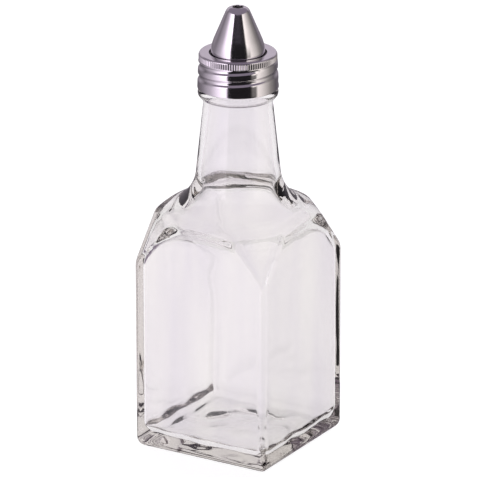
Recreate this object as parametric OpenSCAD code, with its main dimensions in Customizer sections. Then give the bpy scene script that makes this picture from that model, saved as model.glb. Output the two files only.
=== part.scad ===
// Square glass oil cruet with a screw-on stainless pouring top.
// Millimetres, +Z up. The origin is the centre of the base, at the height of the surface it stands on.

/* [Body] */
// Width of the square body across its flat sides
body_w = 54; // [52:1:56]
// Radius of the upright edges
edge_r = 2; // [1.5:0.5:4]
// Radius of the edge around the foot
foot_r = 4; // [2:0.5:5]
// Wall thickness of the body
wall = 2.6; // [2:0.1:3]
// Thickness of the glass floor
floor_t = 5; // [4:0.5:7]
// Radius of the upright edges inside the body
cavity_r = 1.5; // [1:0.5:3]
// Radius where the floor meets the walls inside
floor_r = 5; // [4:0.5:8]
// Depth of the hollow under the base
pushup_h = 0.8; // [0.4:0.1:1.2]
// Radius of the hollow under the base
pushup_r = 18; // [14:1:20]

/* [Corner facets] */
// Height at which each leaning corner facet starts in a point
facet_z = 70.75; // [68:0.25:72]
// Height of a facet
facet_h = 16; // [15:0.5:17]
// Length that a facet takes off each side at its top
facet_c = 15; // [14:0.5:16]

/* [Shoulder and neck] */
// Slope of the shoulder, in degrees from level
shoulder_a = 23; // [20:1:26]
// Lean of the neck, in degrees from upright
neck_a = 6; // [5:0.5:7]
// Radius of the neck where the shoulder's sweep ends
neck_r = 15; // [14.5:0.1:15.5]
// Height at which the shoulder's sweep ends
neck_z = 101; // [100:0.5:102]
// Radius of the sweep between shoulder and neck
sweep_r = 15; // [13:0.5:16]
// Wall thickness of the neck
neck_wall = 2; // [1.6:0.1:2.2]
// Wall thickness of the shoulder
shoulder_wall = 4.6; // [3.5:0.1:5]
// Height of the centre of the sweep inside the neck
inner_sweep_z = 99; // [98:0.5:101]

/* [Threaded finish] */
// Height of the glass lip
lip_z = 143.5; // [143:0.1:144]
// Radius of the pouring bore in the lip
bore_r = 10; // [9.5:0.1:10.2]
// Radius of the glass at the root of the thread
root_r = 12.5; // [12.4:0.05:12.6]
// Radius of the glass at the crest of the thread
crest_r = 13.5; // [13.45:0.05:13.6]
// Rise of the thread in one turn, six turns to the inch
pitch = 4.233; // [4:0.001:4.4]
// Turns of thread on the glass
glass_turns = 1.5; // [1.25:0.05:1.5]
// Height of the middle of the glass bead below the thread
bead_z = 130.9; // [130.5:0.1:131.1]
// Radius across the glass bead
bead_r = 14.2; // [14:0.1:14.4]
// Radius of the bead's own round section
bead_round = 2; // [1.6:0.1:2]

/* [Screw ring] */
// Thickness of the sheet steel in the ring
sheet = 0.35; // [0.3:0.05:0.4]
// Height of the ring's open lower edge
ring_z = 132.7; // [132.6:0.1:133]
// Height of the ring
ring_h = 12.76; // [12.7:0.02:12.8]
// Outer radius of the ring at its lower edge
ring_r = 14.35; // [14.3:0.05:14.4]
// Outer radius of the ring just under its knurled band
ring_top_r = 13.95; // [13.9:0.05:14.1]
// Depth of the rolled thread groove
groove_d = 0.6; // [0.4:0.05:0.6]
// Radius of the ring's upper edge
ring_round = 0.5; // [0.4:0.1:1]
// Turns of the rolled thread groove
ring_turns = 1.9; // [1.5:0.05:2]
// Radius of the knurled band at the foot of its teeth
knurl_r = 13.65; // [13.6:0.05:13.7]
// Height of a knurl tooth
knurl_h = 0.2; // [0.1:0.05:0.25]
// Number of knurl teeth
knurls = 100; // [80:2:120]
// Height of the knurled band
knurl_band = 2.1; // [1.8:0.1:2.2]
// Radius of the hole in the ring's top
ring_hole_r = 10.2; // [10.1:0.1:10.6]

/* [Pouring cone] */
// Height of the cone's tip above the base
tip_z = 162; // [160:0.5:164]
// Radius of the cone at its foot
cone_r = 9.6; // [9.5:0.1:9.8]
// Lean of the cone's straight side, in degrees from upright
cone_a = 22.8; // [22:0.1:23.5]
// Radius of the curve at the foot of the cone
cone_sweep = 16; // [14:1:18]
// Radius of the curve around the tip
tip_round = 2.6; // [2.2:0.1:2.8]
// Radius of the pouring hole
hole_r = 1.85; // [1.5:0.05:2]
// Thickness of the sheet steel in the cone
cone_sheet = 0.4; // [0.3:0.05:0.4]

/* [Gasket] */
// Thickness of the sealing washer
gasket_t = 1.1; // [1:0.05:1.1]
// Outer radius of the washer and of the cone's flange
seal_r = 12.8; // [12.6:0.05:12.85]
// Inner radius of the washer
gasket_hole_r = 8.5; // [8:0.1:9]

/* [Hidden] */
$fn = 96;

half_w = body_w / 2;
far = 60;
arc_steps = 12;

// The bell is the round outline that cuts the shoulder and neck out of the square block.
shoulder_r = norm([half_w, half_w - facet_c]);
shoulder_z = facet_z + facet_h;

// Corner facets: distance from the axis where they start, and their lean.
facet_d0 = half_w * sqrt(2) - edge_r * (sqrt(2) - 1);
facet_d1 = (body_w - facet_c) / sqrt(2);
facet_lean = atan((facet_d0 - facet_d1) / facet_h);

// Thread: the ring's groove starts at groove_top at the angle groove_a, and the glass thread runs above its ridge.
groove_top = 142.8;
groove_a = -15;
mesh_rise = 1.4;
thread_steps = 36;
glass_thread_z = 141;
glass_thread_a = groove_a + (glass_thread_z - mesh_rise - groove_top) / pitch * 360;

ring_top = ring_z + ring_h;
knurl_z = ring_top - ring_round - knurl_band;
ring_flare = (ring_r - ring_top_r) / (knurl_z - ring_z);
flange_z = lip_z + gasket_t;

// Points on an arc about [r, z], from angle a to angle b.
function arc(r, z, radius, a, b, steps = arc_steps) =
    [for (i = [0 : steps]) let (t = a + (b - a) * i / steps) [r + radius * cos(t), z + radius * sin(t)]];

// Distance of the shoulder line, inset by a wall, measured square to it from the origin.
function shoulder_at(shoulder_in) = shoulder_r * sin(shoulder_a) + shoulder_z * cos(shoulder_a) - shoulder_in;

// Centre of the outer sweep, which touches the neck line and the shoulder line.
function sweep_centre() =
    let (neck_c = neck_r * cos(neck_a) + neck_z * sin(neck_a) + sweep_r)
    let (shoulder_c = shoulder_at(0) + sweep_r)
    let (det = cos(neck_a + shoulder_a))
    [(neck_c * cos(shoulder_a) - shoulder_c * sin(neck_a)) / det,
     (shoulder_c * cos(neck_a) - neck_c * sin(shoulder_a)) / det];

// Radius of the neck line, inset by a wall, at height z.
function neck_at(z, neck_in) = neck_r - neck_in / cos(neck_a) - (z - neck_z) * tan(neck_a);

// Height at which the inset neck line has radius r.
function neck_height(r, neck_in) = neck_z + (neck_r - neck_in / cos(neck_a) - r) / tan(neck_a);

// A sweep, led into by the shoulder line from the far edge.
function bell(sweep) = concat([[far, sweep[0][1] - (far - sweep[0][0]) * tan(shoulder_a)]], sweep);

// Outline of the outer bell from the far edge of the shoulder to the top of the sweep.
function outer_bell() =
    let (c = sweep_centre())
    bell(arc(c[0], c[1], sweep_r, 270 - shoulder_a, 180 + neck_a));

// The same inside the glass, where the sweep meets the thicker shoulder in a crease.
function inner_bell() =
    let (radius = sweep_r + neck_wall, z = inner_sweep_z)
    let (r = neck_at(z, neck_wall) + radius / cos(neck_a))
    let (past = r * sin(shoulder_a) + z * cos(shoulder_a) - shoulder_at(shoulder_wall))
    bell(arc(r, z, radius, 180 + asin(past / radius) - shoulder_a, 180 + neck_a));

// Radius of the ring's plain outside at height z.
function ring_at(z) = ring_r - (z - ring_z) * ring_flare;

// Square prism with round upright edges.
module prism(half, r, z0, z1) {
    side = half - r;
    for (k = [0 : 3]) rotate([0, 0, 90 * k]) translate([side, side, z0]) cylinder(r = r, h = z1 - z0);
    translate([-half, -side, z0]) cube([2 * half, 2 * side, z1 - z0]);
    translate([-side, -half, z0]) cube([2 * side, 2 * half, z1 - z0]);
}

// Bar along Y with two round lower edges.
module trough(half, r, z0, z1) {
    side = half - r;
    for (x = [-side, side]) translate([x, half, z0 + r]) rotate([90, 0, 0]) cylinder(r = r, h = 2 * half);
    translate([-side, -half, z0]) cube([2 * side, 2 * half, r + 1]);
    translate([-half, -half, z0 + r]) cube([2 * half, 2 * half, z1 - z0 - r]);
}

// Square block with round upright edges and a round lower edge.
module block(half, upright_r, lower_r, z0, z1) {
    intersection() {
        prism(half, upright_r, z0, z1);
        trough(half, lower_r, z0, z1);
        rotate([0, 0, 90]) trough(half, lower_r, z0, z1);
    }
}

// Everything outside the four leaning facets, moved inwards by inset.
module facet_cuts(inset) {
    for (k = [0 : 3]) rotate([0, 0, 45 + 90 * k])
        translate([facet_d0, 0, facet_z]) rotate([0, -facet_lean, 0])
            translate([-inset, -far / 2, -far / 4]) cube([far, far, far]);
}

module outer_glass() {
    difference() {
        intersection() {
            block(half_w, edge_r, foot_r, 0, bead_z);
            rotate_extrude() polygon(concat([[0, -1], [far, -1]], outer_bell(),
                [[neck_at(bead_z, 0), bead_z], [0, bead_z]]));
        }
        facet_cuts(0);
    }
}

module cavity() {
    top = neck_height(bore_r, neck_wall);
    difference() {
        intersection() {
            block(half_w - wall, cavity_r, floor_r, floor_t, top);
            rotate_extrude() polygon(concat([[0, 0], [far, 0]], inner_bell(),
                [[bore_r, top], [0, top]]));
        }
        facet_cuts(wall);
    }
    translate([0, 0, top - 1]) cylinder(r = bore_r, h = lip_z - top + 2);
}

// A bar of four-point section that runs down a helix, widens by flare, and fades into base_r at both ends.
module helix_bar(base_r, tip_r, base_w, tip_w, start_a, start_z, turns, flare = 0) {
    n = round(turns * thread_steps);
    fade = thread_steps / 12;
    rings = [for (i = [0 : n])
        let (a = start_a - 360 * i / thread_steps, z = start_z - pitch * i / thread_steps)
        let (f = max(0.08, min(1, i / fade, (n - i) / fade)))
        let (foot = base_r + flare * (start_z - z), r = foot + (tip_r - base_r) * f)
        [for (p = [[foot, -base_w], [r, -tip_w], [r, tip_w], [foot, base_w]])
            [p[0] * cos(a), p[0] * sin(a), z + p[1] / 2]]];
    sides = [for (i = [0 : n - 1], k = [0 : 3])
        let (m = (k + 1) % 4)
        each [[4 * i + k, 4 * i + m, 4 * i + 4 + k], [4 * i + m, 4 * i + 4 + m, 4 * i + 4 + k]]];
    ends = [[3, 2, 1, 0], [4 * n, 4 * n + 1, 4 * n + 2, 4 * n + 3]];
    faces = concat(sides, ends);
    inward = tip_r < base_r;
    polyhedron([for (ring = rings) each ring],
        inward ? faces : [for (f = faces) [for (i = [len(f) - 1 : -1 : 0]) f[i]]]);
}

module glass_thread() {
    helix_bar(root_r - 0.3, crest_r, 2.6, 0.8, glass_thread_a, glass_thread_z, glass_turns);
}

module pushup() {
    r = (pushup_r * pushup_r + pushup_h * pushup_h) / (2 * pushup_h);
    edge = asin(pushup_r / r);
    rotate_extrude() polygon(concat([[0, -1], [pushup_r, -1]], arc(0, pushup_h - r, r, 90 - edge, 90)));
}

module glass_bottle() color([0.86, 0.86, 0.9, 0.4]) {
    lip_round = 0.8;
    difference() {
        union() {
            outer_glass();
            translate([0, 0, bead_z - 1]) cylinder(r = root_r, h = lip_z - lip_round - bead_z + 1);
            rotate_extrude() translate([bead_r - bead_round, bead_z]) circle(r = bead_round);
            rotate_extrude() polygon(concat([[0, lip_z - lip_round - 1], [root_r, lip_z - lip_round - 1]],
                arc(root_r - lip_round, lip_z - lip_round, lip_round, 0, 90, 4), [[0, lip_z]]));
            glass_thread();
        }
        cavity();
        pushup();
    }
}

// Outline of the ring from the axis at its lower edge to the axis at its top, set in by inset.
function ring_outline(inset) =
    let (step = 0.4, edge_z = ring_z - inset)
    concat([[0, edge_z], [ring_r - inset, edge_z], [ring_top_r - inset, knurl_z - step], [knurl_r - inset, knurl_z]],
        arc(knurl_r - ring_round, ring_top - ring_round, ring_round - inset, 0, 90, 5),
        [[0, ring_top - inset]]);

// Star-shaped plate whose points are the knurl teeth.
module knurl_teeth() {
    tooth = 360 / knurls;
    foot_r = knurl_r + 0.03;
    translate([0, 0, knurl_z]) linear_extrude(knurl_band)
        polygon([for (k = [0 : knurls - 1], s = [0, 1])
            (foot_r + s * knurl_h) * [cos((k + s / 2) * tooth), sin((k + s / 2) * tooth)]]);
}

module ring_shell() {
    difference() {
        union() {
            rotate_extrude() polygon(ring_outline(0));
            knurl_teeth();
        }
        rotate_extrude() polygon(ring_outline(sheet));
        cylinder(r = ring_hole_r, h = 2 * lip_z);
    }
}

module screw_cap() color("silver") {
    groove_out = 0.3;
    r = ring_at(groove_top);
    difference() {
        union() {
            ring_shell();
            helix_bar(r - sheet / 2, r - groove_d - sheet, 2, 0.9, groove_a, groove_top, ring_turns, ring_flare);
        }
        helix_bar(r + groove_out, r - groove_d, 2.5, 0.9, groove_a, groove_top, ring_turns, ring_flare);
    }
}

// Cone outline set in by inset from the outer surface, from the flange up to the pouring hole.
function cone_outline(inset) =
    let (rise = cone_sweep * sin(cone_a), turn_in = cone_sweep * (1 - cos(cone_a)))
    let (tip_c = tip_z - tip_round)
    let (side_r = cone_r - turn_in - (tip_c + tip_round * sin(cone_a) - flange_z - rise) * tan(cone_a))
    let (tip_r = side_r - tip_round * cos(cone_a))
    concat([[cone_r - inset, flange_z]],
        arc(cone_r - cone_sweep, flange_z, cone_sweep - inset, 0, cone_a, 6),
        arc(tip_r, tip_c, tip_round - inset, cone_a, 90, 6),
        [[hole_r, tip_z - inset]]);

module pour_cone() color("gainsboro") {
    outside = cone_outline(0);
    inside = cone_outline(cone_sheet);
    rotate_extrude() polygon(concat(
        [[seal_r, flange_z], [seal_r, flange_z + sheet], [cone_r - 0.01, flange_z + sheet]],
        [for (p = outside) if (p[1] > flange_z + sheet) p],
        [for (i = [len(inside) - 1 : -1 : 1]) inside[i]]));
}

module lip_gasket() color("white") {
    translate([0, 0, lip_z]) difference() {
        cylinder(r = seal_r, h = gasket_t);
        translate([0, 0, -1]) cylinder(r = gasket_hole_r, h = gasket_t + 2);
    }
}

glass_bottle();
screw_cap();
pour_cone();
lip_gasket();
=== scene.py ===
import math

import bpy
import numpy as np
from mathutils import Matrix, Vector


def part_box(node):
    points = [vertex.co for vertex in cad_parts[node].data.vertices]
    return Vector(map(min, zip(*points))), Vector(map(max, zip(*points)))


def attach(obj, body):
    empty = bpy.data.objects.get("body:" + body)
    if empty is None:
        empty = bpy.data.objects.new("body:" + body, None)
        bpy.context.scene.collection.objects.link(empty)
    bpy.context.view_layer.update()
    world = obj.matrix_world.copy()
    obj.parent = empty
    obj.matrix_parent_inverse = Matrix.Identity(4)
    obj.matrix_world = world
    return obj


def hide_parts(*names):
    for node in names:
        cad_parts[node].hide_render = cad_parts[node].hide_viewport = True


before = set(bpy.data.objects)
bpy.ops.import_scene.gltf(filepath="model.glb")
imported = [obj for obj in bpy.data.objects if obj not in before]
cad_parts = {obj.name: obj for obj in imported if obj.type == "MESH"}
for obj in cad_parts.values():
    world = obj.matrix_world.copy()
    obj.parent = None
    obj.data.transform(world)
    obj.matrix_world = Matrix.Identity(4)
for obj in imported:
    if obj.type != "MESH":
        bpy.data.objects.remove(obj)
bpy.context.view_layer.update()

MM = 0.001
scene = bpy.context.scene
glass_hi = np.array(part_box("glass_bottle")[1]) / MM
ring_lo, ring_hi = [np.array(v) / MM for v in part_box("screw_cap")]
cone_lo, cone_hi = [np.array(v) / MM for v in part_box("pour_cone")]
seal_lo, seal_hi = [np.array(v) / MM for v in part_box("lip_gasket")]

# ---------------------------------------------------------------- sizes, in millimetres, from the CAD part
HALF = glass_hi[0]
EDGE_R, FOOT_R = 2.0, 4.0
WALL = 2.6
FLOOR_T = 5.0
CAVITY_R, FLOOR_R = 1.5, 5.0
PUSHUP_R, PUSHUP_H = 18.0, 0.8
FACET_Z, FACET_H, FACET_C = 70.75, 16.0, 15.0
SHOULDER_A, NECK_A = math.radians(23), math.radians(6)
NECK_R, NECK_Z, SWEEP_R, NECK_WALL = 15.0, 101.0, 15.0, 2.0
SHOULDER_WALL, INNER_SWEEP_Z = 4.6, 99.0
LIP_Z = glass_hi[2]
BORE_R, ROOT_R, CREST_R, PITCH = 10.0, 12.5, 13.5, 4.233
LIP_ROUND_OUT, LIP_ROUND_IN = 0.8, 0.6
GLASS_TURNS, BEAD_Z, BEAD_R, BEAD_ROUND = 1.5, 130.9, 14.2, 2.0
SHEET = 0.35
RING_Z, RING_TOP, RING_R, RING_TOP_R = ring_lo[2], ring_hi[2], 14.35, 13.95
GROOVE_D, RING_TURNS = 0.6, 1.9
KNURL_R, KNURL_H, KNURLS, KNURL_BAND = 13.65, 0.2, 100, 2.1
RING_ROUND, RING_HOLE_R, RING_EDGE_R = 0.5, 10.2, 0.17
KNURL_Z = RING_TOP - RING_ROUND - KNURL_BAND
TIP_Z, TIP_ROUND, HOLE_R = cone_hi[2], 2.6, 1.85
CONE_R, CONE_A, CONE_SWEEP, CONE_SHEET, FLANGE_ROUND = 9.6, math.radians(22.8), 16.0, 0.4, 0.35
SEAL_R, GASKET_HOLE_R, SEAL_ROUND = 12.8, 8.5, 0.3
FLANGE_Z = cone_lo[2]
GROOVE_TOP, GROOVE_A = 142.8, math.radians(-15)
THREAD_Z, THREAD_DROP = 141.0, 1.4
THREAD_A = GROOVE_A + (THREAD_Z - THREAD_DROP - GROOVE_TOP) / PITCH * 2 * math.pi

FACET_D0 = HALF * math.sqrt(2) - EDGE_R * (math.sqrt(2) - 1)
FACET_D1 = (2 * HALF - FACET_C) / math.sqrt(2)
SHOULDER_R = math.hypot(HALF, HALF - FACET_C)
SHOULDER_Z = FACET_Z + FACET_H
FACET_TOP = SHOULDER_Z + 5.5


# ---------------------------------------------------------------- curve helpers
def smooth_min(a, b, k):
    """The smaller of two radii, with a fillet about k wide where they cross."""
    h = np.clip(0.5 + 0.5 * (b - a) / k, 0, 1)
    return b + (a - b) * h - k * h * (1 - h)


def smooth_max(a, b, k):
    return -smooth_min(-a, -b, k)


def square_radius(theta, half, corner):
    """Polar radius of a square with round corners."""
    phi = np.abs((theta + math.pi / 4) % (math.pi / 2) - math.pi / 4)
    c, s = np.cos(phi), np.sin(phi)
    corner = max(corner, 1e-3)
    a = half - corner
    flat = half / c
    t = a * (c + s)
    arc = t + np.sqrt(np.maximum(t * t - 2 * a * a + corner * corner, 0))
    return np.where(half * s / c <= a, flat, arc)


def facet_radius(theta, z, inset):
    """Polar radius of the four leaning corner facets at height z."""
    lean = (FACET_D0 - FACET_D1) / FACET_H
    limit = FACET_D0 - inset * math.hypot(1, lean) - (z - FACET_Z) * lean
    delta = np.abs(theta % (math.pi / 2) - math.pi / 4)
    return limit / np.cos(delta)


def bell_radius(z):
    """Radius of the round outline of shoulder, sweep and neck at height z."""
    neck_c = NECK_R * math.cos(NECK_A) + NECK_Z * math.sin(NECK_A) + SWEEP_R
    shoulder_c = SHOULDER_R * math.sin(SHOULDER_A) + SHOULDER_Z * math.cos(SHOULDER_A) + SWEEP_R
    det = math.cos(NECK_A + SHOULDER_A)
    cr = (neck_c * math.cos(SHOULDER_A) - shoulder_c * math.sin(NECK_A)) / det
    cz = (shoulder_c * math.cos(NECK_A) - neck_c * math.sin(SHOULDER_A)) / det
    low_z = cz - SWEEP_R * math.cos(SHOULDER_A)
    low_r = cr - SWEEP_R * math.sin(SHOULDER_A)
    high_z = cz - SWEEP_R * math.sin(NECK_A)
    high_r = cr - SWEEP_R * math.cos(NECK_A)
    if z < low_z:
        return low_r + (low_z - z) / math.tan(SHOULDER_A)
    if z > high_z:
        return high_r - (z - high_z) * math.tan(NECK_A)
    return cr - math.sqrt(SWEEP_R ** 2 - (z - cz) ** 2)


def inner_bell_radius(z):
    """The same inside the glass, where the sweep meets the thicker shoulder in a crease."""
    def neck(height):
        return NECK_R - NECK_WALL / math.cos(NECK_A) - (height - NECK_Z) * math.tan(NECK_A)

    radius = SWEEP_R + NECK_WALL
    shoulder = SHOULDER_R - (z + SHOULDER_WALL / math.cos(SHOULDER_A) - SHOULDER_Z) / math.tan(SHOULDER_A)
    if z > INNER_SWEEP_Z - radius * math.sin(NECK_A):
        return neck(z)
    if z < INNER_SWEEP_Z - radius * 0.9:
        return shoulder
    centre = neck(INNER_SWEEP_Z) + radius / math.cos(NECK_A)
    sweep = centre - math.sqrt(radius ** 2 - (z - INNER_SWEEP_Z) ** 2)
    return float(smooth_max(sweep, shoulder, 0.4))


def helix_offset(theta, z, start_a, start_z, turns):
    """Height above the nearest turn of a right-handed helix running down clockwise, and how full it is."""
    best = np.full(np.broadcast(theta, z).shape, 99.0)
    full = np.zeros_like(best)
    base = ((start_a - theta) % (2 * math.pi)) / (2 * math.pi)
    for k in range(3):
        u = base + k
        inside = u <= turns
        fade = np.clip(np.minimum(u, turns - u) / 0.07, 0, 1)
        off = z - (start_z - PITCH * u)
        nearer = inside & (np.abs(off) < np.abs(best))
        best = np.where(nearer, off, best)
        full = np.where(nearer, fade * fade * (3 - 2 * fade), full)
    return best, full


def bump(off, base_w, tip_w):
    """Section of a thread: 1 on its flat, 0 beyond its foot, with soft flanks."""
    t = np.clip((base_w / 2 - np.abs(off)) / ((base_w - tip_w) / 2), 0, 1)
    return t * t * (3 - 2 * t)


class Waves:
    """A smooth, seeded unevenness in space: a sum of plane waves, between about -1 and 1."""

    def __init__(self, seed, count, shortest, longest, upright=1.0):
        rng = np.random.default_rng(seed)
        direction = rng.normal(size=(count, 3))
        direction[:, 2] *= upright
        direction /= np.linalg.norm(direction, axis=1)[:, None]
        length = rng.uniform(shortest, longest, count)
        self.k = direction * (2 * math.pi / length)[:, None]
        self.phase = rng.uniform(0, 2 * math.pi, count)
        self.scale = 1.6 / math.sqrt(count)

    def at(self, points):
        out = np.zeros(points.shape[:-1])
        for k, phase in zip(self.k, self.phase):
            out += np.sin(points @ k + phase)
        return out * self.scale


def polar(theta, radius, z):
    radius = np.broadcast_to(radius, theta.shape)
    z = np.broadcast_to(z, theta.shape)
    return np.stack([radius * np.cos(theta), radius * np.sin(theta), z], -1)


def grid_piece(name, rows, closed, material):
    """A mesh from rows of points round the axis: closed, or with each end fanned to a point on the axis."""
    rows = np.asarray(rows)
    n, m = rows.shape[:2]
    points = rows.reshape(-1, 3)
    i = np.arange(n if closed else n - 1)[:, None]
    j = np.arange(m)[None, :]
    a, b = i * m + j, i * m + (j + 1) % m
    ii = (i + 1) % n
    c, d = ii * m + (j + 1) % m, ii * m + j
    quads = np.stack([a, b, c, d], -1).reshape(-1, 4)
    loops = quads.ravel()
    starts = np.arange(0, len(loops), 4)
    if not closed:
        first = np.append(rows[0].mean(0), 0)[:3]
        last = rows[-1].mean(0)
        points = np.vstack([points, first, last])
        low, high = n * m, n * m + 1
        j = j.ravel()
        fan0 = np.stack([np.full(m, low), (j + 1) % m, j], -1)
        fan1 = np.stack([np.full(m, high), (n - 1) * m + j, (n - 1) * m + (j + 1) % m], -1)
        extra = np.concatenate([fan0, fan1]).ravel()
        starts = np.concatenate([starts, len(loops) + np.arange(0, len(extra), 3)])
        loops = np.concatenate([loops, extra])
    mesh = bpy.data.meshes.new(name)
    mesh.vertices.add(len(points))
    mesh.vertices.foreach_set("co", (points * MM).astype(np.float32).ravel())
    mesh.loops.add(len(loops))
    mesh.loops.foreach_set("vertex_index", loops.astype(np.int32))
    mesh.polygons.add(len(starts))
    mesh.polygons.foreach_set("loop_start", starts.astype(np.int32))
    mesh.update(calc_edges=True)
    mesh.validate()
    mesh.polygons.foreach_set("use_smooth", np.ones(len(mesh.polygons), dtype=bool))
    mesh.materials.append(material)
    piece = bpy.data.objects.new(name, mesh)
    scene.collection.objects.link(piece)
    return piece


# ---------------------------------------------------------------- materials
def new_material(name):
    mat = bpy.data.materials.new(name)
    mat.use_nodes = True
    tree = mat.node_tree
    return mat, tree, tree.nodes["Principled BSDF"]


def node(tree, kind, **values):
    made = tree.nodes.new(kind)
    for key, value in values.items():
        if key in made.inputs:
            made.inputs[key].default_value = value
        else:
            setattr(made, key, value)
    return made


def glass_material():
    mat, tree, shader = new_material("clear_glass")
    streaks = node(tree, "ShaderNodeTexNoise", Scale=70.0, Detail=2.0)
    tint = node(tree, "ShaderNodeValToRGB")
    tint.color_ramp.elements[0].position = 0.35
    tint.color_ramp.elements[0].color = (0.855, 0.835, 0.862, 1)
    tint.color_ramp.elements[1].position = 0.65
    tint.color_ramp.elements[1].color = (0.915, 0.902, 0.895, 1)
    tree.links.new(streaks.outputs["Fac"], tint.inputs["Fac"])
    tree.links.new(tint.outputs["Color"], shader.inputs["Base Color"])
    shader.inputs["Transmission Weight"].default_value = 1.0
    shader.inputs["IOR"].default_value = 1.5
    coords = node(tree, "ShaderNodeTexCoord")
    stretch = node(tree, "ShaderNodeMapping")
    stretch.inputs["Scale"].default_value = (1, 1, 0.15)
    tree.links.new(coords.outputs["Object"], stretch.inputs["Vector"])
    tree.links.new(stretch.outputs["Vector"], streaks.inputs["Vector"])
    ripple = node(tree, "ShaderNodeTexNoise", Scale=160.0, Detail=1.0)
    tree.links.new(stretch.outputs["Vector"], ripple.inputs["Vector"])
    lump = node(tree, "ShaderNodeBump", Strength=0.04, Distance=0.0002)
    tree.links.new(ripple.outputs["Fac"], lump.inputs["Height"])
    tree.links.new(lump.outputs["Normal"], shader.inputs["Normal"])
    haze = node(tree, "ShaderNodeTexNoise", Scale=60.0, Detail=3.0)
    tree.links.new(coords.outputs["Object"], haze.inputs["Vector"])
    rough = node(tree, "ShaderNodeMapRange")
    rough.inputs["From Min"].default_value = 0.45
    rough.inputs["From Max"].default_value = 0.75
    rough.inputs["To Min"].default_value = 0.0
    rough.inputs["To Max"].default_value = 0.004
    tree.links.new(haze.outputs["Fac"], rough.inputs["Value"])
    tree.links.new(rough.outputs["Result"], shader.inputs["Roughness"])
    absorb = node(tree, "ShaderNodeVolumeAbsorption", Color=(0.85, 0.832, 0.81, 1), Density=42.0)
    tree.links.new(absorb.outputs["Volume"], tree.nodes["Material Output"].inputs["Volume"])
    return mat


def steel_material(name, colour, roughness, crevice_shade_low=0.0, crevice_shade_high=1.0):
    mat, tree, shader = new_material(name)
    shader.inputs["Metallic"].default_value = 1.0
    coords = node(tree, "ShaderNodeTexCoord")
    stretch = node(tree, "ShaderNodeMapping")
    stretch.inputs["Scale"].default_value = (0.02, 0.02, 1)
    tree.links.new(coords.outputs["Object"], stretch.inputs["Vector"])
    lines = node(tree, "ShaderNodeTexNoise", Scale=9000.0, Detail=2.0)
    tree.links.new(stretch.outputs["Vector"], lines.inputs["Vector"])
    cloud = node(tree, "ShaderNodeTexNoise", Scale=220.0, Detail=4.0)
    tree.links.new(coords.outputs["Object"], cloud.inputs["Vector"])
    tint = node(tree, "ShaderNodeValToRGB")
    tint.color_ramp.elements[0].position = 0.3
    tint.color_ramp.elements[0].color = [c * 0.93 for c in colour] + [1]
    tint.color_ramp.elements[1].position = 0.7
    tint.color_ramp.elements[1].color = list(colour) + [1]
    tree.links.new(cloud.outputs["Fac"], tint.inputs["Fac"])
    # Painted shade: below a given height the base colour is near black, blending back to the steel tint
    # higher up; on the cone this darkens its foot in the gap under the ring's top
    crevice_shade = node(tree, "ShaderNodeMix", data_type="RGBA")
    split = node(tree, "ShaderNodeSeparateXYZ")
    tree.links.new(coords.outputs["Object"], split.inputs["Vector"])
    depth = node(tree, "ShaderNodeMapRange")
    depth.inputs["From Min"].default_value = crevice_shade_low * MM
    depth.inputs["From Max"].default_value = crevice_shade_high * MM
    tree.links.new(split.outputs["Z"], depth.inputs["Value"])
    tree.links.new(depth.outputs["Result"], crevice_shade.inputs["Factor"])
    crevice_shade.inputs["A"].default_value = (0.035, 0.028, 0.035, 1)
    tree.links.new(tint.outputs["Color"], crevice_shade.inputs["B"])
    tree.links.new(crevice_shade.outputs["Result"], shader.inputs["Base Color"])
    rough = node(tree, "ShaderNodeMapRange")
    rough.inputs["To Min"].default_value = roughness - 0.04
    rough.inputs["To Max"].default_value = roughness + 0.04
    tree.links.new(lines.outputs["Fac"], rough.inputs["Value"])
    tree.links.new(rough.outputs["Result"], shader.inputs["Roughness"])
    groove = node(tree, "ShaderNodeBump", Strength=0.08, Distance=0.00002)
    tree.links.new(lines.outputs["Fac"], groove.inputs["Height"])
    tree.links.new(groove.outputs["Normal"], shader.inputs["Normal"])
    return mat


def seal_material():
    mat, tree, shader = new_material("white_seal")
    coords = node(tree, "ShaderNodeTexCoord")
    grain = node(tree, "ShaderNodeTexNoise", Scale=900.0, Detail=3.0)
    tree.links.new(coords.outputs["Object"], grain.inputs["Vector"])
    tint = node(tree, "ShaderNodeValToRGB")
    tint.color_ramp.elements[0].color = (0.80, 0.80, 0.77, 1)
    tint.color_ramp.elements[1].color = (0.90, 0.90, 0.88, 1)
    tree.links.new(grain.outputs["Fac"], tint.inputs["Fac"])
    tree.links.new(tint.outputs["Color"], shader.inputs["Base Color"])
    shader.inputs["Roughness"].default_value = 0.55
    lump = node(tree, "ShaderNodeBump", Strength=0.2, Distance=0.00005)
    tree.links.new(grain.outputs["Fac"], lump.inputs["Height"])
    tree.links.new(lump.outputs["Normal"], shader.inputs["Normal"])
    return mat


# ---------------------------------------------------------------- the glass bottle
def bottle_angles(count):
    """Angles round the axis, closer together at the four upright edges."""
    t = np.arange(count) / count * 2 * math.pi
    return t + 0.14 * np.sin(4 * t)


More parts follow.
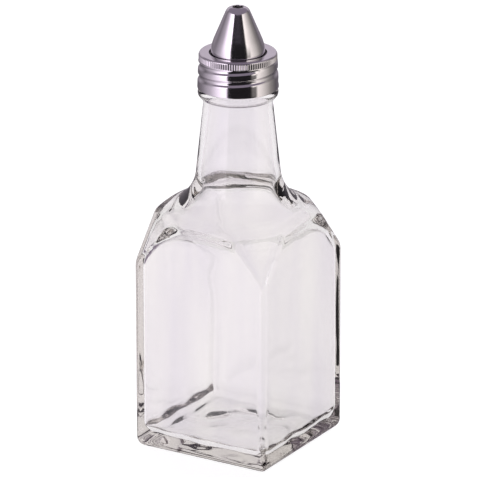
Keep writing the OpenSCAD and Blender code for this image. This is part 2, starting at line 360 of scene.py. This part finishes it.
def glass_rows():
    theta = bottle_angles(272)
    rows = []

    # Underside: dome, bearing frame, round lower edge
    dome_r = (PUSHUP_R ** 2 + PUSHUP_H ** 2) / (2 * PUSHUP_H)
    for r in np.linspace(0.6, PUSHUP_R - 0.7, 12):
        rows.append(polar(theta, r, PUSHUP_H - dome_r + math.sqrt(dome_r ** 2 - r * r)))
    foot = square_radius(theta, HALF - FOOT_R, 1.0)
    for t in (0.0, 0.35, 0.7, 0.9):
        r = (PUSHUP_R + 0.3) * (1 - t) + foot * t
        rows.append(polar(theta, r, 0.0))
    for a in np.linspace(0, math.pi / 2, 13):
        d = FOOT_R * (1 - math.sin(a))
        outline = square_radius(theta, HALF - d, max(EDGE_R - d, 1.0))
        rows.append(polar(theta, outline, FOOT_R * (1 - math.cos(a))))

    def outer(z):
        body = square_radius(theta, HALF, EDGE_R)
        if FACET_Z - 4 < z < FACET_TOP:
            body = smooth_min(body, facet_radius(theta, z, 0), 1.1)
        bell = bell_radius(z)
        return smooth_min(body, bell, 3.5) if bell < 50 else body

    heights = [*np.arange(FOOT_R + 1.5, 66, 3.0), *np.arange(66.5, 80, 0.6), *np.arange(80, 91, 0.25)]
    heights += [*np.arange(91, 101, 0.5), *np.arange(101.5, 128, 1.5)]
    for z in heights:
        rows.append(polar(theta, outer(z), z))

    # Bead, thread and lip
    for z in np.arange(128.2, LIP_Z - LIP_ROUND_OUT + 0.01, 0.25):
        base = bell_radius(z) if z < BEAD_Z else ROOT_R
        section = BEAD_ROUND ** 2 - (z - BEAD_Z) ** 2
        bead = BEAD_R - BEAD_ROUND + math.sqrt(section) if section > 0 else 0
        r = np.full(theta.shape, smooth_max(np.float64(base), np.float64(bead), 0.35))
        off, full = helix_offset(theta, z, THREAD_A, THREAD_Z, GLASS_TURNS)
        r = np.maximum(r, ROOT_R + (CREST_R - ROOT_R) * bump(off, 2.6, 0.7) * full)
        rows.append(polar(theta, np.minimum(r, BEAD_R), z))
    for a in np.linspace(0.15, math.pi / 2, 5):
        r = ROOT_R - LIP_ROUND_OUT * (1 - math.cos(a))
        rows.append(polar(theta, r, LIP_Z - LIP_ROUND_OUT * (1 - math.sin(a))))
    for a in np.linspace(0, math.pi / 2, 5):
        r = BORE_R + LIP_ROUND_IN * (1 - math.sin(a))
        rows.append(polar(theta, r, LIP_Z - LIP_ROUND_IN * (1 - math.cos(a))))

    # Inside: bore, neck, shoulder, body, floor
    half_in = HALF - WALL

    def inner(z):
        body = square_radius(theta, half_in, CAVITY_R)
        if FACET_Z - 10 < z < FACET_TOP:
            body = smooth_min(body, facet_radius(theta, z, WALL), 2.5)
        bell = inner_bell_radius(z)
        bell = smooth_max(np.float64(bell), np.float64(BORE_R), 0.6)
        blend = 5.0 + 6.0 * min(max((86.0 - z) / 2.5, 0.0), 1.0)
        return smooth_min(body, bell, blend) if bell < 50 else body

    heights = [*np.arange(LIP_Z - 2, 104, -2.0), *np.arange(104, 90, -0.7), *np.arange(90, 80, -0.35)]
    heights += [*np.arange(80, 64, -0.8), *np.arange(63, 16, -2.0)]
    inner_rows = [polar(theta, inner(z), z) for z in heights]
    for a in np.linspace(math.pi / 2, 0, 14):
        d = FLOOR_R * (1 - math.sin(a))
        r = square_radius(theta, half_in - d, max(CAVITY_R - d, 1.2))
        inner_rows.append(polar(theta, r, FLOOR_T + FLOOR_R * (1 - math.cos(a))))
    edge = square_radius(theta, half_in - FLOOR_R, 1.2)
    for t in np.linspace(0.93, 0.03, 16):
        rise = 0.5 * (1 - t * t)
        inner_rows.append(polar(theta, edge * t, FLOOR_T + rise))
    inner_rows = np.array(inner_rows)

    # Unevenness of blown glass on the inner face: long upright ripples, lumps near the floor and shoulder
    ripple = Waves(11, 10, 9, 22, upright=0.12).at(inner_rows)
    lumps = Waves(12, 14, 7, 15).at(inner_rows)
    z = inner_rows[..., 2]
    low = np.clip((24 - z) / 14, 0, 1)
    high = np.clip((z - 62) / 12, 0, 1) * np.clip((112 - z) / 12, 0, 1)
    amount = 0.02 * ripple + lumps * (0.16 * low + 0.06 * high)
    amount *= np.clip((LIP_Z - 8 - z) / 8, 0, 1)
    centre = np.array([0, 0, 34.0])
    out = inner_rows - centre
    out[..., 2] *= np.where(z < 34, 1.0, 0.0)
    out /= np.maximum(np.linalg.norm(out, axis=-1), 1e-6)[..., None]
    inner_rows = inner_rows + out * np.minimum(amount, 0.9)[..., None]
    return list(rows) + list(inner_rows)


glass = glass_material()
bottle = grid_piece("glass_body", glass_rows(), False, glass)
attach(bottle, "bottle")
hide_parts("glass_bottle")


# ---------------------------------------------------------------- the screw ring
def ring_rows():
    theta = np.arange(1000) / 1000 * 2 * math.pi
    flare = (RING_R - RING_TOP_R) / (KNURL_Z - RING_Z)

    def outer(z):
        off, full = helix_offset(theta, z, GROOVE_A, GROOVE_TOP, RING_TURNS)
        r = RING_R - flare * (z - RING_Z) - GROOVE_D * bump(off, np.where(off < 0, 3.2, 2.4), 0.4) * full
        step = np.clip((z - (KNURL_Z - 0.5)) / 0.5, 0, 1)
        return r + (KNURL_R - r) * step * step * (3 - 2 * step)

    tooth = KNURL_R + KNURL_H * (0.5 - 0.45 * np.cos(theta * KNURLS))
    rows = []
    heights = [*np.arange(RING_Z + 0.25, KNURL_Z - 0.1, 0.25), KNURL_Z]
    for a in np.linspace(-math.pi / 2, 0, 4):
        r = outer(heights[0]) - RING_EDGE_R * (1 - math.cos(a))
        rows.append(polar(theta, r, RING_Z + RING_EDGE_R * (1 + math.sin(a))))
    for z in heights[1:]:
        rows.append(polar(theta, outer(z), z))
    for z, lift in ((0.05, 0.1), (0.15, 0.8), (0.22, 1.0), (0.3, 1.0), (KNURL_BAND - 0.3, 1.0),
                    (KNURL_BAND - 0.22, 1.0), (KNURL_BAND - 0.12, 0.8), (KNURL_BAND, 0.2)):
        rows.append(polar(theta, KNURL_R + (tooth - KNURL_R) * lift, KNURL_Z + z))
    for a in np.linspace(0.12, math.pi / 2, 8):
        r = KNURL_R - RING_ROUND * (1 - math.cos(a))
        rows.append(polar(theta, r, RING_TOP - RING_ROUND * (1 - math.sin(a))))
    for r in (12.0, 11.2, RING_HOLE_R + 0.45):
        rows.append(polar(theta, r, RING_TOP))
    for a in np.linspace(0.2, math.pi, 6):
        r = RING_HOLE_R + RING_EDGE_R * (1 - math.sin(a))
        rows.append(polar(theta, r, RING_TOP - RING_EDGE_R * (1 - math.cos(a))))
    rows.append(polar(theta, 12.0, RING_TOP - SHEET))
    inner_round = RING_ROUND - SHEET
    for a in np.linspace(math.pi / 2, 0, 4):
        r = KNURL_R - RING_ROUND + inner_round * math.cos(a)
        rows.append(polar(theta, r, RING_TOP - RING_ROUND + inner_round * math.sin(a)))
    for z in heights[::-2]:
        rows.append(polar(theta, outer(z) - SHEET, z))
    return rows


steel_ring = steel_material("ring_steel", (0.80, 0.77, 0.80), 0.12)
# Painted shade on the cone: its foot, in the crevice under the ring's top, is painted near black
crevice_shade_low, crevice_shade_high = FLANGE_Z + SHEET + 0.1, RING_TOP + 0.1
steel_cone = steel_material("cone_steel", (0.80, 0.77, 0.80), 0.11, crevice_shade_low, crevice_shade_high)
ring = grid_piece("steel_ring", ring_rows(), True, steel_ring)
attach(ring, "cap")
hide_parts("screw_cap")


# ---------------------------------------------------------------- the pouring cone
def cone_outline(inset, steps):
    rise, turn_in = CONE_SWEEP * math.sin(CONE_A), CONE_SWEEP * (1 - math.cos(CONE_A))
    tip_c = TIP_Z - TIP_ROUND
    side_r = CONE_R - turn_in - (tip_c + TIP_ROUND * math.sin(CONE_A) - FLANGE_Z - rise) * math.tan(CONE_A)
    tip_r = side_r - TIP_ROUND * math.cos(CONE_A)
    line = []
    rr = CONE_SWEEP - inset
    for a in np.linspace(0, CONE_A, steps):
        line.append((CONE_R - CONE_SWEEP + rr * math.cos(a), FLANGE_Z + rr * math.sin(a)))
    foot = line[-1]
    rr = TIP_ROUND - inset
    arc = [(tip_r + rr * math.cos(a), tip_c + rr * math.sin(a))
           for a in np.linspace(CONE_A, math.pi / 2, steps)]
    for t in np.linspace(0, 1, 26)[1:-1]:
        line.append((foot[0] + (arc[0][0] - foot[0]) * t, foot[1] + (arc[0][1] - foot[1]) * t))
    return line + arc


def cone_rows():
    theta = np.arange(256) / 256 * 2 * math.pi
    outside = [p for p in cone_outline(0, 12) if p[1] > FLANGE_Z + SHEET + FLANGE_ROUND]
    inside = [p for p in cone_outline(CONE_SHEET, 12) if p[1] > FLANGE_Z + 0.3]
    foot_r = outside[0][0]
    line = [(CONE_R - CONE_SHEET + 0.25, FLANGE_Z), (SEAL_R - 0.12, FLANGE_Z)]
    rim = SHEET / 2
    for a in np.linspace(-math.pi / 2, math.pi / 2, 7):
        line.append((SEAL_R - rim * (1 - math.cos(a)), FLANGE_Z + rim * (1 + math.sin(a))))
    for a in np.linspace(0, math.pi / 2, 6):
        r = foot_r + FLANGE_ROUND * (1 - math.sin(a))
        line.append((r, FLANGE_Z + SHEET + FLANGE_ROUND * (1 - math.cos(a))))
    line += outside
    lip = CONE_SHEET / 2
    hole_z = TIP_Z - lip
    for a in np.linspace(math.pi / 2, 3 * math.pi / 2, 9):
        line.append((HOLE_R + lip + lip * math.cos(a), hole_z + lip * math.sin(a)))
    outside_count = len(line)
    line += inside[::-1]
    return [polar(theta, r, z) for r, z in line], outside_count


steel_inside = steel_material("cone_inside", (0.10, 0.09, 0.10), 0.55)
rows, outside_count = cone_rows()
cone = grid_piece("steel_cone", rows, True, steel_cone)
cone.data.materials.append(steel_inside)
inner = np.repeat((np.arange(len(rows)) >= outside_count - 1).astype(np.int32), rows[0].shape[0])
cone.data.polygons.foreach_set("material_index", inner)
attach(cone, "spout")
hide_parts("pour_cone")


# ---------------------------------------------------------------- the sealing washer
def seal_rows():
    theta = np.arange(192) / 192 * 2 * math.pi
    low, high = seal_lo[2], seal_hi[2]
    outer_c, inner_c = SEAL_R - SEAL_ROUND, GASKET_HOLE_R + SEAL_ROUND
    corners = [(outer_c, low + SEAL_ROUND, -90), (outer_c, high - SEAL_ROUND, 0),
               (inner_c, high - SEAL_ROUND, 90), (inner_c, low + SEAL_ROUND, 180)]
    rows = []
    for r, z, start in corners:
        for a in np.radians(np.linspace(start, start + 90, 5)):
            rows.append(polar(theta, r + SEAL_ROUND * math.cos(a), z + SEAL_ROUND * math.sin(a)))
    return rows


seal = grid_piece("seal_washer", seal_rows(), True, seal_material())
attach(seal, "spout")
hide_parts("lip_gasket")


# ---------------------------------------------------------------- floor, studio and light
def emission_material(name, build):
    mat = bpy.data.materials.new(name)
    mat.use_nodes = True
    tree = mat.node_tree
    tree.nodes.clear()
    out = node(tree, "ShaderNodeOutputMaterial")
    emit = node(tree, "ShaderNodeEmission")
    tree.links.new(emit.outputs["Emission"], out.inputs["Surface"])
    build(tree, emit)
    return mat


def seen_in_gloss_only(obj):
    obj.visible_camera = False
    obj.visible_diffuse = False
    obj.visible_glossy = True
    obj.visible_transmission = False
    obj.visible_shadow = False
    obj.visible_volume_scatter = False


bpy.ops.mesh.primitive_plane_add(size=12.0)
floor = bpy.context.object
floor.name = "studio_floor"
floor.location.z = -0.05 * MM
paper, tree, shader = new_material("pale_paper")
shader.inputs["Base Color"].default_value = (0.5, 0.5, 0.5, 1)
shader.inputs["Roughness"].default_value = 0.9
shader.inputs["Specular IOR Level"].default_value = 0.0
shader.inputs["Emission Color"].default_value = (1.0, 1.0, 1.0, 1)
shader.inputs["Emission Strength"].default_value = 0.87
floor.data.materials.append(paper)
floor.visible_glossy = False

VIEW_A = math.radians(31.26)


def ring_ramp(tree, fac, stops):
    """Light round the studio: (degrees from the camera's side, positive to its right; brightness; warmth)."""
    ramp = node(tree, "ShaderNodeValToRGB")
    elements = ramp.color_ramp.elements
    elements.remove(elements[-1])
    for k, (angle, value, warm) in enumerate(stops):
        place = (angle + 180) / 360
        item = elements[0] if k == 0 else elements.new(place)
        item.position = place
        item.color = (value, value * (0.90 + 0.04 * warm), value * (1.03 - 0.14 * warm), 1)
    tree.links.new(fac, ramp.inputs["Fac"])
    return ramp.outputs["Color"]


def mix_by(tree, fac, low, high, start, end):
    """low where fac is under start, high where it is over end."""
    part = node(tree, "ShaderNodeMapRange")
    part.inputs["From Min"].default_value = start
    part.inputs["From Max"].default_value = end
    tree.links.new(fac, part.inputs["Value"])
    mix = node(tree, "ShaderNodeMix", data_type="RGBA")
    tree.links.new(part.outputs["Result"], mix.inputs["Factor"])
    tree.links.new(low, mix.inputs["A"])
    tree.links.new(high, mix.inputs["B"])
    return mix.outputs["Result"]


def studio_pattern(tree, emit):
    """Soft boxes, dark flag and grey surround, laid out round the axis of the studio shell."""
    coords = node(tree, "ShaderNodeTexCoord")
    split = node(tree, "ShaderNodeSeparateXYZ")
    tree.links.new(coords.outputs["Object"], split.inputs["Vector"])
    turn = node(tree, "ShaderNodeMath", operation="ARCTAN2")
    tree.links.new(split.outputs["Y"], turn.inputs[0])
    tree.links.new(split.outputs["X"], turn.inputs[1])
    fac = node(tree, "ShaderNodeMapRange")
    fac.inputs["From Min"].default_value = -math.pi
    fac.inputs["From Max"].default_value = math.pi
    tree.links.new(turn.outputs["Value"], fac.inputs["Value"])
    dark = 0.014
    low = ring_ramp(tree, fac.outputs["Result"], [
        (-180, 0.20, 0), (-150, 0.12, 0), (-125, 0.22, 0), (-85, 0.62, 0), (-50, 1.3, 0), (-33, 1.5, 0),
        (-29, dark, 0), (52, dark, 0), (57, 1.15, 1), (78, 0.8, 1), (105, 0.30, 1),
        (135, 0.10, 0), (180, 0.20, 0)])
    high = ring_ramp(tree, fac.outputs["Result"], [
        (-180, 0.60, 0), (-140, 0.50, 0), (-115, 0.16, 0), (-80, 0.55, 0), (-50, 2.0, 0), (-35, 2.3, 0),
        (-31, dark, 0), (36, dark, 0), (42, 1.4, 1), (75, 0.7, 1), (100, 0.28, 1),
        (122, 0.13, 0), (145, 0.50, 0),
        (180, 0.60, 0)])
    top = node(tree, "ShaderNodeRGB")
    top.outputs[0].default_value = (0.24, 0.205, 0.26, 1)
    height = split.outputs["Z"]
    sides = mix_by(tree, height, low, high, -0.9, 1.1)
    whole = mix_by(tree, height, sides, top.outputs[0], SHELL_R * 0.50, SHELL_R * 0.56)
    tree.links.new(whole, emit.inputs["Color"])


SHELL_R = 3.0
bpy.ops.mesh.primitive_uv_sphere_add(segments=64, ring_count=32, radius=SHELL_R)
shell = bpy.context.object
shell.name = "studio_shell"
shell.rotation_euler = (0, 0, VIEW_A - math.pi / 2)
shell.data.materials.append(emission_material("studio_light", studio_pattern))
seen_in_gloss_only(shell)

# Bright ahead of and over the bottle, dark purplish flanks that draw its edges, grey behind the camera
WORLD_A = VIEW_A - math.radians(18)
world = bpy.data.worlds.new("studio_world")
scene.world = world
world.use_nodes = True
tree = world.node_tree
coords = node(tree, "ShaderNodeTexCoord")
facing = node(tree, "ShaderNodeVectorMath", operation="DOT_PRODUCT")
facing.inputs[1].default_value = (math.sin(WORLD_A), -math.cos(WORLD_A), -0.5)
tree.links.new(coords.outputs["Generated"], facing.inputs[0])
along = node(tree, "ShaderNodeMapRange")
along.inputs["From Min"].default_value = -1.0
tree.links.new(facing.outputs["Value"], along.inputs["Value"])
sky = node(tree, "ShaderNodeValToRGB")
sky.color_ramp.elements[0].position = 0.09
sky.color_ramp.elements[0].color = (1.0, 1.0, 1.0, 1)
sky.color_ramp.elements[1].position = 0.75
sky.color_ramp.elements[1].color = (0.50, 0.46, 0.50, 1)
for place in (0.27, 0.52):
    sky.color_ramp.elements.new(place).color = (0.19, 0.15, 0.21, 1)
tree.links.new(along.outputs["Result"], sky.inputs["Fac"])
tree.links.new(sky.outputs["Color"], tree.nodes["Background"].inputs["Color"])
tree.nodes["Background"].inputs["Strength"].default_value = 1.03

# ---------------------------------------------------------------- camera
DISTANCE, ELEVATION, LOOK_Z, ROLL = 2.0445, math.radians(20.1438), 0.0755338, math.radians(-0.1423)
SENSOR, LENS, SHIFT_X, SHIFT_Y = 36.0, 435.5170, 0.000107, 0.001392
level = math.cos(ELEVATION)
toward = Vector((math.sin(VIEW_A) * level, -math.cos(VIEW_A) * level, math.sin(ELEVATION)))
right = Vector((math.cos(VIEW_A), math.sin(VIEW_A), 0))
up = toward.cross(right)
right, up = (right * math.cos(ROLL) + up * math.sin(ROLL), up * math.cos(ROLL) - right * math.sin(ROLL))
spin = Matrix((right, up, toward)).transposed()
camera_data = bpy.data.cameras.new("camera")
camera_data.sensor_width = SENSOR
camera_data.lens = LENS
camera_data.shift_x = SHIFT_X
camera_data.shift_y = SHIFT_Y
camera_data.clip_start = 0.05
camera = bpy.data.objects.new("camera", camera_data)
scene.collection.objects.link(camera)
camera.matrix_world = Matrix.Translation(toward * DISTANCE + Vector((0, 0, LOOK_Z))) @ spin.to_4x4()
scene.camera = camera

scene.view_settings.view_transform = "Standard"
scene.cycles.max_bounces = 28
scene.cycles.transmission_bounces = 28
scene.cycles.glossy_bounces = 12
